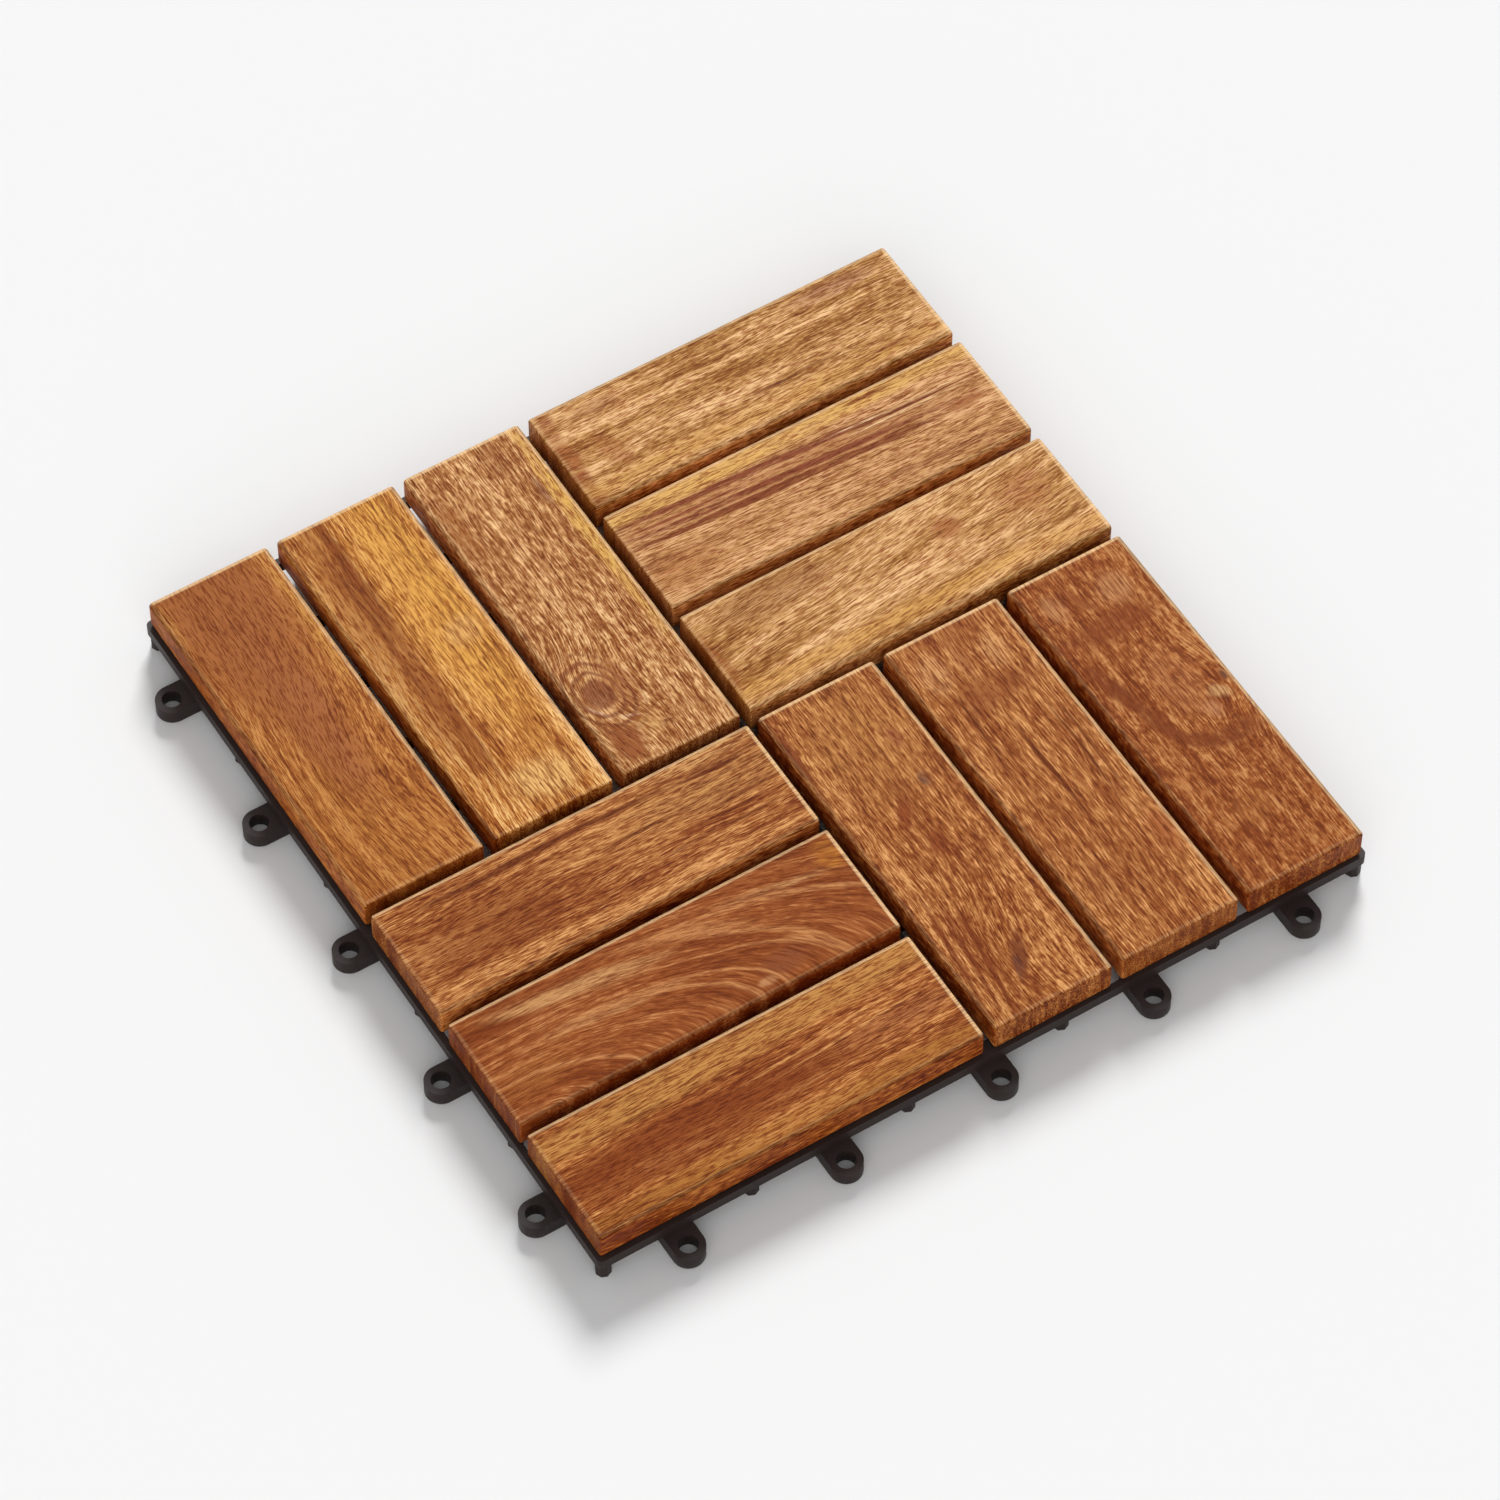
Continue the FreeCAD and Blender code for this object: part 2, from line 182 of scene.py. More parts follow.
@dataclass(frozen=True)
class OiledHardwood:
    """Planed acacia, wiped with oil.

    The oil deepens the colours and leaves a low sheen, tinted by the fibres under it.
    The eye sees streaks that follow the grain, short dark pores cut lengthwise, pieces
    that differ in tone, and paler lines where the edges were sanded, with a painted
    highlight on the edges towards +X and +Y. The sides carry a painted warm shade.
    """

    dark: str
    middle_dark: str
    middle_light: str
    light: str
    seed: float = 0.0
    tilt: float = 0.0
    wander: float = 1.6
    tone: float = 0.75
    streaks: float = 0.45
    fibres: float = 1.15
    rings: float = 0.5
    lines: float = 0.0
    pores: float = 0.8
    pore_shade: str = "#AC7650"
    mottle: float = 0.15
    # paler sanded edges, brightest towards +X and +Y, where a painted highlight lies on them
    sanded_arris_and_highlight: float = 0.8
    sanded_arris_and_highlight_colour: str = "#FAD4A0"
    # painted warm shade on the sawn sides
    painted_side_shade: str = "#FFE6C4"
    patches: tuple[Patch, ...] = ()
    swirls: tuple[Swirl, ...] = ()
    arches: tuple[Arch, ...] = ()
    knots: tuple[Knot, ...] = ()

    # Real sizes of the figure in millimetres: along the grain, across it and in depth.
    TONE_SIZE = (70.0, 8.0, 16.0)
    STREAK_SIZE = (30.0, 1.5, 6.0)
    FIBRE_SIZE = (4.8, 0.38, 0.8)
    RING_SIZE = (500.0, 3.4, 60.0)
    LINE_SIZE = (260.0, 10.0, 60.0)
    # A pore is about 0.2 mm wide, drawn twice as wide so that it shows.
    PORE_SIZE = (4.0, 0.38, 0.7)
    MOTTLE_SIZE = (2.4, 1.6, 4.0)
    # Over what lengths the grain wanders sideways, and how far, in millimetres.
    WANDER_SIZE = (42.0, 15.0, 15.0)
    WANDER_REACH = (4.0, 2.0, 0.0)
    # The levels at which the four tones lie, dark to light.
    TONE_STOPS = (0.27, 0.42, 0.58, 0.73)
    # The share of a patch that keeps its full strength.
    PATCH_CORE = 0.35
    # A knot's first ring and the step to each ring beyond, in sizes of its heart.
    FIRST_RING = 1.4
    RING_STEP = 0.6
    # How far in from the outline a sanded edge and its painted highlight end and are at their
    # palest, in millimetres.
    ARRIS_END = 1.9
    ARRIS_PALEST = 1.2
    # How strong the edges towards -X and -Y, which are only sanded, are beside those towards +X and
    # +Y, which also carry a painted highlight.
    ARRIS_SHARE_WITHOUT_HIGHLIGHT = 0.15
    # Open pores seen end on, counted to the millimetre along, across and in height.
    END_PORES = (0.3, 1.6, 1.6)
    GRAIN_RELIEF = 0.00012
    SMOOTHEST = 0.48
    ROUGHEST = 0.62
    SHEEN_TINT = "#D98E4E"

    def material(self, name: str, mirror: float, half: tuple[float, float]) -> bpy.types.Material:
        """Build the wood for one slat.

        Args:
            name: The material's name.
            mirror: -1 where the slat's own width runs against the plan, else 1.
            half: Half the slat's length and half its width, in millimetres.

        Returns:
            The material.
        """
        material, tree, shader = new_material(name)
        place, plan = self._plan(tree, mirror)
        course = self._course(tree, plan)
        grain = self._grain(tree, place, course)

        tone = self._noise(tree, grain, self.TONE_SIZE, 0.0, 2.0)
        streak = self._noise(tree, grain, self.STREAK_SIZE, 11.0, 3.0)
        fibre = self._noise(tree, grain, self.FIBRE_SIZE, 17.0, 2.0)
        ring = self._noise(tree, grain, self.RING_SIZE, 23.0, 2.0)
        mottle = self._noise(tree, grain, self.MOTTLE_SIZE, 37.0, 2.0)

        level: Socket | float = 0.5
        patterns = (tone, streak, fibre, ring, mottle)
        shares = (self.tone, self.streaks, self.fibres, self.rings, self.mottle)
        for pattern, share in zip(patterns, shares):
            shifted = add_node(tree, "Math", {0: pattern, 1: 0.5}, operation="SUBTRACT").outputs[0]
            sockets = {0: shifted, 1: share, 2: level}
            level = add_node(tree, "Math", sockets, operation="MULTIPLY_ADD").outputs[0]
        colour = self._tones(tree, level)

        for patch in self.patches:
            colour = self._stain(tree, plan, streak, fibre, patch, colour)
        if self.lines:
            colour = self._lines(tree, grain, fibre, colour)
        for knot in self.knots:
            colour = self._knot(tree, plan, knot, colour)

        pore = self._pores(tree, grain)
        amount = add_node(tree, "Math", {0: pore, 1: self.pores}, operation="MULTIPLY").outputs[0]
        sockets = {0: amount, 6: colour, 7: linear(self.pore_shade)}
        colour = add_node(tree, "Mix", sockets, data_type="RGBA", blend_type="MULTIPLY").outputs[2]
        # paler sanded edges, with a painted highlight on those towards +X and +Y
        colour = self._sanded_arrises_and_highlights(tree, place, half, fibre, colour)
        # painted warm shade on the sides, and darker end grain on the ends
        colour = self._paint_side_shade_and_darken_ends(tree, place, colour)

        sheen = {0: streak, 1: 0.2, 2: 0.8, 3: self.SMOOTHEST, 4: self.ROUGHEST}
        rough = add_node(tree, "MapRange", sheen).outputs[0]
        sunk = {0: pore, 1: -0.7, 2: streak}
        height = add_node(tree, "Math", sunk, operation="MULTIPLY_ADD").outputs[0]
        relief = {"Height": height, "Strength": 0.55, "Distance": self.GRAIN_RELIEF}
        bump = add_node(tree, "Bump", relief).outputs[0]

        tree.links.new(colour, shader.inputs["Base Color"])
        tree.links.new(rough, shader.inputs["Roughness"])
        tree.links.new(bump, shader.inputs["Normal"])
        shader.inputs["IOR"].default_value = 1.5
        shader.inputs["Specular IOR Level"].default_value = 0.25
        shader.inputs["Specular Tint"].default_value = linear(self.SHEEN_TINT)
        return material

    def _plan(self, tree: Tree, mirror: float) -> tuple[Socket, Socket]:
        """Find a point's place on the slat in millimetres, straight and slightly wandering.

        Args:
            tree: The material's tree.
            mirror: The sign that brings the slat's width in line with the plan.

        Returns:
            The straight place and the one that wanders as grown wood does.
        """
        source = add_node(tree, "TexCoord").outputs["Object"]
        scale = (1 / MM, mirror / MM, 1 / MM)
        place = add_node(tree, "VectorMath", {0: source, 1: scale}, operation="MULTIPLY").outputs[0]
        scale = tuple(1 / extent for extent in self.WANDER_SIZE)
        sockets = {0: place, 1: (self.seed, self.seed, 0.0), 3: scale}
        near = add_node(tree, "Mapping", sockets).outputs[0]
        noise = add_node(tree, "TexNoise", {"Vector": near, "Scale": 1.0, "Detail": 2.0}).outputs[1]
        sockets = {0: noise, 1: (0.5, 0.5, 0.5)}
        centred = add_node(tree, "VectorMath", sockets, operation="SUBTRACT").outputs[0]
        reach = tuple(self.wander * most for most in self.WANDER_REACH)
        sockets = {0: centred, 1: reach, 2: place}
        plan = add_node(tree, "VectorMath", sockets, operation="MULTIPLY_ADD").outputs[0]
        return place, plan

    def _course(self, tree: Tree, plan: Socket) -> Socket:
        """Work out which line of grain a point lies on.

        Args:
            tree: The material's tree.
            plan: The wandering place on the slat.

        Returns:
            The distance across the grain in millimetres.
        """
        parts = add_node(tree, "SeparateXYZ", {0: plan}).outputs
        sockets = {0: parts[0], 1: self.tilt, 2: parts[1]}
        course = add_node(tree, "Math", sockets, operation="MULTIPLY_ADD").outputs[0]
        for arch in self.arches:
            sockets = {0: plan, 1: (arch.along, arch.across, 0.0), 3: (arch.squeeze, 1.0, FAR)}
            near = add_node(tree, "Mapping", sockets, vector_type="TEXTURE").outputs[0]
            sockets = {0: near, 1: (0.0, -FAR, -FAR)}
            ahead = add_node(tree, "VectorMath", sockets, operation="MAXIMUM").outputs[0]
            course = add_node(tree, "VectorMath", {0: ahead}, operation="LENGTH").outputs[1]
        for swirl in self.swirls:
            near = self._nearness(tree, plan, swirl)
            sockets = {0: near, 1: swirl.push, 2: course}
            course = add_node(tree, "Math", sockets, operation="MULTIPLY_ADD").outputs[0]
        return course

    def _reach(self, tree: Tree, plan: Socket, spot: Patch | Swirl | Knot, lean: float) -> Socket:
        """Measure how far a point lies from a spot's middle, where the spot's edge is at 1.

        Args:
            tree: The material's tree.
            plan: The wandering place on the slat.
            spot: What gives the spot's middle and size.
            lean: The spot's turn in degrees.

        Returns:
            The distance as a share of the spot's own reach that way.
        """
        sockets = {
            0: plan,
            1: (spot.along, spot.across, 0.0),
            2: (0.0, 0.0, math.radians(lean)),
            3: (spot.length / 2, spot.width / 2, FAR),
        }
        near = add_node(tree, "Mapping", sockets, vector_type="TEXTURE").outputs[0]
        return add_node(tree, "VectorMath", {0: near}, operation="LENGTH").outputs[1]

    def _nearness(
        self, tree: Tree, plan: Socket, spot: Patch | Swirl, lean: float = 0.0, core: float = 0.0
    ) -> Socket:
        """Fade from 1 in a spot's middle to 0 at its edge.

        Args:
            tree: The material's tree.
            plan: The wandering place on the slat.
            spot: What gives the spot's middle and size.
            lean: The spot's turn in degrees.
            core: The share of the spot that stays at 1.

        Returns:
            The fading value.
        """
        reach = self._reach(tree, plan, spot, lean)
        fade = {0: reach, 1: 1.0, 2: core, 3: 0.0, 4: 1.0}
        return add_node(tree, "MapRange", fade, interpolation_type="SMOOTHSTEP").outputs[0]

    def _grain(self, tree: Tree, place: Socket, course: Socket) -> Socket:
        """Put together the coordinates that every pattern of the grain is drawn in.

        Args:
            tree: The material's tree.
            place: The straight place on the slat.
            course: The line of grain.

        Returns:
            Along the grain, across it and in depth, in millimetres.
        """
        parts = add_node(tree, "SeparateXYZ", {0: place}).outputs
        sockets = {0: parts[0], 1: course, 2: parts[2]}
        return add_node(tree, "CombineXYZ", sockets).outputs[0]

    def _noise(
        self, tree: Tree, grain: Socket, size: Triple, shift: float, detail: float
    ) -> Socket:
        """Draw one pattern of the grain at its real size.

        Args:
            tree: The material's tree.
            grain: The grain's coordinates.
            size: The pattern's size along, across and in depth, in millimetres.
            shift: What keeps this pattern apart from the others.
            detail: How many finer patterns are laid over the first.

        Returns:
            A value round one half.
        """
        start = (self.seed + shift, self.seed * 1.7 + shift, shift)
        scale = tuple(1 / extent for extent in size)
        near = add_node(tree, "Mapping", {0: grain, 1: start, 3: scale}).outputs[0]
        noise = {"Vector": near, "Scale": 1.0, "Detail": detail, "Roughness": 0.55}
        return add_node(tree, "TexNoise", noise).outputs[0]

    def _tones(self, tree: Tree, level: Socket) -> Socket:
        """Turn a level into the wood's tones, dark to light.

        Args:
            tree: The material's tree.
            level: The level, about one half in the middle.

        Returns:
            The colour.
        """
        ramp = add_node(tree, "ValToRGB", {0: level})
        stops = ramp.color_ramp.elements
        first, second, third, last = self.TONE_STOPS
        stops[0].position, stops[0].color = first, linear(self.dark)
        stops[1].position, stops[1].color = last, linear(self.light)
        for position, colour in ((second, self.middle_dark), (third, self.middle_light)):
            stops.new(position).color = linear(colour)
        return ramp.outputs[0]

    def _stain(
        self, tree: Tree, plan: Socket, streak: Socket, fibre: Socket, patch: Patch, colour: Socket
    ) -> Socket:
        """Lay one patch over the wood, frayed by the grain.

        Args:
            tree: The material's tree.
            plan: The wandering place on the slat.
            streak: The streaks of the grain.
            fibre: The finer fibres of the grain.
            patch: The patch.
            colour: The wood's colour so far.

        Returns:
            The colour with the patch.
        """
        near = self._nearness(tree, plan, patch, patch.lean, self.PATCH_CORE)
        # the grain's dark parts hold a patch back and its light parts let it through
        both = add_node(tree, "Math", {0: streak, 1: fibre}, operation="ADD").outputs[0]
        fray = {0: both, 1: 0.8, 2: 1.2, 3: 0.2 * patch.strength, 4: 1.6 * patch.strength}
        frayed = add_node(tree, "MapRange", fray).outputs[0]
        amount = add_node(tree, "Math", {0: near, 1: frayed}, operation="MULTIPLY", use_clamp=True)
        sockets = {0: amount.outputs[0], 6: colour, 7: linear(patch.colour)}
        return add_node(tree, "Mix", sockets, data_type="RGBA").outputs[2]

    def _lines(self, tree: Tree, grain: Socket, fibre: Socket, colour: Socket) -> Socket:
        """Draw the thin pale lines that edge some of the growth rings.

        Args:
            tree: The material's tree.
            grain: The grain's coordinates.
            fibre: The finer fibres, which break the lines up.
            colour: The wood's colour so far.

        Returns:
            The colour with the lines.
        """
        # a line lies where the noise passes its middle
        noise = self._noise(tree, grain, self.LINE_SIZE, 67.0, 1.0)
        away = add_node(tree, "Math", {0: noise, 1: 0.5}, operation="SUBTRACT").outputs[0]
        away = add_node(tree, "Math", {0: away}, operation="ABSOLUTE").outputs[0]
        edge = {0: away, 1: 0.035, 2: 0.0, 3: 0.0, 4: self.lines}
        line = add_node(tree, "MapRange", edge, interpolation_type="SMOOTHSTEP").outputs[0]
        broken = add_node(tree, "MapRange", {0: fibre, 1: 0.35, 2: 0.6, 3: 0.25, 4: 1.0}).outputs[0]
        amount = add_node(tree, "Math", {0: line, 1: broken}, operation="MULTIPLY").outputs[0]
        mixed = {0: amount, 6: colour, 7: linear(self.light)}
        return add_node(tree, "Mix", mixed, data_type="RGBA").outputs[2]

    def _sanded_arrises_and_highlights(
        self, tree: Tree, place: Socket, half: tuple[float, float], fibre: Socket, colour: Socket
    ) -> Socket:
        """Draw the thin paler lines along the sanded top edges, where the oil is thinnest, with a
        painted highlight on some.

        The edges towards +X and +Y also carry a painted highlight, as if they caught the light from
        behind, and are palest.

        Args:
            tree: The material's tree.
            place: The straight place on the slat.
            half: Half the slat's length and half its width, in millimetres.
            fibre: The finer fibres, which break the line up.
            colour: The wood's colour so far.

        Returns:
            The colour with its edges.
        """
        line: Socket | float = 0.0
        # edges towards +X and +Y get the sanded line plus a painted highlight; the others get only
        # a weak sanded line
        for side, strength in ((1.0, self.sanded_arris_and_highlight), (-1.0, self.sanded_arris_and_highlight * self.ARRIS_SHARE_WITHOUT_HIGHLIGHT)):
            sockets = {0: place, 1: (-side, -side, 0.0), 2: (*half, 0.0)}
            inward = add_node(tree, "VectorMath", sockets, operation="MULTIPLY_ADD").outputs[0]
            parts = add_node(tree, "SeparateXYZ", {0: inward}).outputs
            sockets = {0: parts[0], 1: parts[1]}
            depth = add_node(tree, "Math", sockets, operation="MINIMUM").outputs[0]
            edge = {0: depth, 1: self.ARRIS_END, 2: self.ARRIS_PALEST, 3: 0.0, 4: strength}
            edge = add_node(tree, "MapRange", edge, interpolation_type="SMOOTHSTEP").outputs[0]
            line = add_node(tree, "Math", {0: line, 1: edge}, operation="MAXIMUM").outputs[0]
        normal = add_node(tree, "TexCoord").outputs["Normal"]
        up = add_node(tree, "SeparateXYZ", {0: normal}).outputs[2]
        above = add_node(tree, "MapRange", {0: up, 1: 0.6, 2: 0.9, 3: 0.0, 4: 1.0}).outputs[0]
        broken = add_node(tree, "MapRange", {0: fibre, 1: 0.35, 2: 0.6, 3: 0.5, 4: 1.0}).outputs[0]
        amount = add_node(tree, "Math", {0: line, 1: above}, operation="MULTIPLY").outputs[0]
        amount = add_node(tree, "Math", {0: amount, 1: broken}, operation="MULTIPLY").outputs[0]
        # the pale colour is partly sanded wood and partly painted highlight
        mixed = {0: amount, 6: colour, 7: linear(self.sanded_arris_and_highlight_colour)}
        return add_node(tree, "Mix", mixed, data_type="RGBA").outputs[2]

    def _knot(self, tree: Tree, plan: Socket, knot: Knot, colour: Socket) -> Socket:
        """Draw a knot: a brown heart and the darker rings that grew round it.

        Args:
            tree: The material's tree.
            plan: The wandering place on the slat.
            knot: The knot.
            colour: The wood's colour so far.

        Returns:
            The colour with the knot.
        """
        reach = self._reach(tree, plan, knot, knot.lean)
        heart = {0: reach, 1: 1.15, 2: 0.75, 3: 0.0, 4: 0.85}
        heart = add_node(tree, "MapRange", heart, interpolation_type="SMOOTHSTEP").outputs[0]
        # a wave that peaks at the first ring and again at each ring beyond
        start = -math.tau * self.FIRST_RING / self.RING_STEP
        turns = {0: reach, 1: math.tau / self.RING_STEP, 2: start}
        phase = add_node(tree, "Math", turns, operation="MULTIPLY_ADD").outputs[0]
        wave = add_node(tree, "Math", {0: phase}, operation="COSINE").outputs[0]
        rings = add_node(tree, "MapRange", {0: wave, 1: -0.2, 2: 0.9, 3: 0.0, 4: 0.75}).outputs[0]
        fade = {0: reach, 1: 3.2, 2: 1.8, 3: 0.0, 4: 1.0}
        fade = add_node(tree, "MapRange", fade, interpolation_type="SMOOTHSTEP").outputs[0]
        bark = add_node(tree, "Math", {0: fade, 1: rings}, operation="MULTIPLY").outputs[0]
        amount = add_node(tree, "Math", {0: heart, 1: bark}, operation="MAXIMUM").outputs[0]
        mixed = {0: amount, 6: colour, 7: linear(knot.colour)}
        return add_node(tree, "Mix", mixed, data_type="RGBA").outputs[2]

    def _pores(self, tree: Tree, grain: Socket) -> Socket:
        """Pick out the short dark pores.

        Args:
            tree: The material's tree.
            grain: The grain's coordinates.

        Returns:
            1 in a pore and 0 between pores.
        """
        noise = self._noise(tree, grain, self.PORE_SIZE, 51.0, 1.0)
        edge = {0: noise, 1: 0.5, 2: 0.62, 3: 0.0, 4: 1.0}
        return add_node(tree, "MapRange", edge, interpolation_type="SMOOTHSTEP").outputs[0]

    def _paint_side_shade_and_darken_ends(self, tree: Tree, place: Socket, colour: Socket) -> Socket:
        """Paint a warm shade on the sawn sides, and darken the ends, which soak up more oil than
        the top.

        Args:
            tree: The material's tree.
            place: The straight place on the slat.
            colour: The wood's colour so far.

        Returns:
            The colour with its sides and ends.
        """
        normal = add_node(tree, "TexCoord").outputs["Normal"]
        facing = add_node(tree, "VectorMath", {0: normal}, operation="ABSOLUTE").outputs[0]
        parts = add_node(tree, "SeparateXYZ", {0: facing}).outputs
        # painted shade, warm and a little dark, on every face that stands upright
        sockets = {0: parts[2], 1: 0.8, 2: 0.3, 3: 0.0, 4: 1.0}
        side_shade_share = add_node(tree, "MapRange", sockets).outputs[0]
        sockets = {0: side_shade_share, 6: colour, 7: linear(self.painted_side_shade)}
        colour = add_node(tree, "Mix", sockets, data_type="RGBA", blend_type="MULTIPLY").outputs[2]
        sockets = {0: parts[0], 1: 0.75, 2: 0.95, 3: 0.0, 4: 0.85}
        at_end = add_node(tree, "MapRange", sockets).outputs[0]
        sockets = {0: place, 1: self.END_PORES}
        dots = add_node(tree, "VectorMath", sockets, operation="MULTIPLY").outputs[0]
        noise = add_node(tree, "TexNoise", {"Vector": dots, "Scale": 1.0, "Detail": 2.0}).outputs[0]
        shade = add_node(tree, "MapRange", {0: noise, 1: 0.3, 2: 0.7, 3: 0.5, 4: 0.95}).outputs[0]
        grey = add_node(tree, "CombineXYZ", {0: shade, 1: shade, 2: shade}).outputs[0]
        sockets = {0: at_end, 6: colour, 7: grey}
        return add_node(tree, "Mix", sockets, data_type="RGBA", blend_type="MULTIPLY").outputs[2]


@dataclass(frozen=True)
class MouldedPolypropylene:
    """Brown polypropylene, moulded in a spark-eroded tool.

    The tool's fine grain breaks up the sheen, so edges glint softly and faces look matt.
    """

    colour: str = "#2B1E1A"
    shade: str = "#1C1311"
    roughness: float = 0.52
    grain: float = 0.35
    relief: float = 0.00004

    def material(self, name: str) -> bpy.types.Material:
        """Build the plastic.

        Args:
            name: The material's name.

        Returns:
            The material.
        """
        material, tree, shader = new_material(name)
        source = add_node(tree, "TexCoord").outputs["Object"]
        sockets = {"Vector": source, "Scale": 1 / (self.grain * MM), "Detail": 2.0}
        grain = add_node(tree, "TexNoise", sockets).outputs[0]
        # the colour clouds over about 22 mm
        sockets = {"Vector": source, "Scale": 45.0, "Detail": 3.0}
        cloud = add_node(tree, "TexNoise", sockets).outputs[0]
        sockets = {0: cloud, 6: linear(self.shade), 7: linear(self.colour)}
        colour = add_node(tree, "Mix", sockets, data_type="RGBA").outputs[2]
        spread = {0: cloud, 1: 0.3, 2: 0.7, 3: self.roughness - 0.06, 4: self.roughness + 0.08}
        rough = add_node(tree, "MapRange", spread).outputs[0]
        relief = {"Height": grain, "Strength": 0.5, "Distance": self.relief}
        bump = add_node(tree, "Bump", relief).outputs[0]
        tree.links.new(colour, shader.inputs["Base Color"])
        tree.links.new(rough, shader.inputs["Roughness"])
        tree.links.new(bump, shader.inputs["Normal"])
        shader.inputs["IOR"].default_value = 1.49
        shader.inputs["Specular IOR Level"].default_value = 0.3
        return material


@dataclass(frozen=True)
class ZincPlatedSteel:
    """Steel wire, cold headed and zinc plated: pale, slightly clouded metal."""

    colour: str = "#C9C7BE"
    cloudy: str = "#A5A49C"
    roughness: float = 0.32

    def material(self, name: str) -> bpy.types.Material:
        """Build the plated steel.

        Args:
            name: The material's name.

        Returns:
            The material.
        """
        material, tree, shader = new_material(name)
        source = add_node(tree, "TexCoord").outputs["Object"]
        # the plating clouds over about 1.5 mm
        sockets = {"Vector": source, "Scale": 650.0, "Detail": 3.0}
        cloud = add_node(tree, "TexNoise", sockets).outputs[0]
        sockets = {0: cloud, 6: linear(self.colour), 7: linear(self.cloudy)}
        colour = add_node(tree, "Mix", sockets, data_type="RGBA").outputs[2]
        spread = {0: cloud, 1: 0.3, 2: 0.7, 3: self.roughness - 0.08, 4: self.roughness + 0.12}
        rough = add_node(tree, "MapRange", spread).outputs[0]
        tree.links.new(colour, shader.inputs["Base Color"])
        tree.links.new(rough, shader.inputs["Roughness"])
        shader.inputs["Metallic"].default_value = 1.0
        return material


def finish_mesh(mesh: bmesh.types.BMesh, name: str, sharp: float) -> bpy.types.Object:
    """Turn a working mesh into a smooth-shaded object with crisp edges.

    Args:
        mesh: The working mesh, which is freed.
        name: The object's name.
        sharp: The angle in degrees past which an edge stays crisp.

    Returns:
        The object, linked into the scene.
    """
    bmesh.ops.recalc_face_normals(mesh, faces=mesh.faces)
    data = bpy.data.meshes.new(name)
    mesh.to_mesh(data)
    mesh.free()
    data.shade_smooth()
    data.set_sharp_from_angle(angle=math.radians(sharp))
    item = bpy.data.objects.new(name, data)
    bpy.context.scene.collection.objects.link(item)
    weighted = item.modifiers.new("flat faces stay flat", "WEIGHTED_NORMAL")
    weighted.keep_sharp = True
    return item


@dataclass
class Slat:
    """One hardwood slat, planed with rounded top edges and eased ends."""

    node: str
    run: Run
    wood: OiledHardwood
    slot: str
    top_round: float = 1.6
    bottom_ease: float = 1.0
    end_ease: float = 0.8
    round_steps: int = 6
    end_steps: int = 3

    def build(self) -> bpy.types.Object:
        """Plane the slat, lay it where its solid lies and give it its wood.

        Returns:
            The slat.
        """
        low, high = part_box(self.node)
        size = high - low
        length, width = max(size.x, size.y), min(size.x, size.y)
        mesh = bmesh.new()
        bmesh.ops.create_cube(mesh, size=1.0)
        bmesh.ops.scale(mesh, vec=(length, width, size.z), verts=mesh.verts)
        self._ease(mesh, self._long_edges(mesh, top=True), self.top_round, self.round_steps)
        self._ease(mesh, self._long_edges(mesh, top=False), self.bottom_ease, 1)
        ends = [
            edge
            for edge in mesh.edges
            if all(abs(abs(v.co.x) - length / 2) < NEAR for v in edge.verts)
        ]
        self._ease(mesh, ends, self.end_ease, self.end_steps)
        self._trim(mesh, Vector((length, width, size.z)) / 2)

        slat = finish_mesh(mesh, f"{self.node}_planed", sharp=50.0)
        slat.location = (low + high) / 2
        slat.rotation_euler.z = math.radians(self.run.value)
        mirror = 1.0 if self.run is Run.ALONG_X else -1.0
        half = (length / MM / 2, width / MM / 2)
        slat.data.materials.append(self.wood.material(f"oiled_acacia_{self.node}", mirror, half))
        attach(slat, ROOT_BODY)
        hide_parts(self.node)
        log.info("slat %s: %.0f x %.0f mm, %s", self.node, length / MM, width / MM, self.run.name)
        return slat

    def _long_edges(self, mesh: bmesh.types.BMesh, top: bool) -> list[bmesh.types.BMEdge]:
        """Pick the outer edges that run the slat's length, above or below.

        Args:
            mesh: The working mesh.
            top: Whether the upper edges are wanted, not the lower ones.

        Returns:
            The edges.
        """
        side = 1 if top else -1
        highest = max(side * vertex.co.z for vertex in mesh.verts)
        return [
            edge
            for edge in mesh.edges
            if all(abs(side * v.co.z - highest) < NEAR for v in edge.verts)
            and abs(edge.verts[0].co.x - edge.verts[1].co.x) > NEAR
        ]

    def _ease(
        self, mesh: bmesh.types.BMesh, edges: list[bmesh.types.BMEdge], size: float, steps: int
    ) -> None:
        """Round edges off.

        Args:
            mesh: The working mesh.
            edges: The edges to round.
            size: The round's size in millimetres.
            steps: How many flats make up the round.
        """
        bmesh.ops.bevel(
            mesh,
            geom=edges,
            offset=size * MM,
            segments=steps,
            profile=0.5,
            affect="EDGES",
            clamp_overlap=False,
        )

    def _trim(self, mesh: bmesh.types.BMesh, half: Vector) -> None:
        """Bring rounded corners back to the planed faces where they stand out a hair."""
        for vertex in mesh.verts:
            vertex.co = [max(-reach, min(reach, place)) for place, reach in zip(vertex.co, half)]


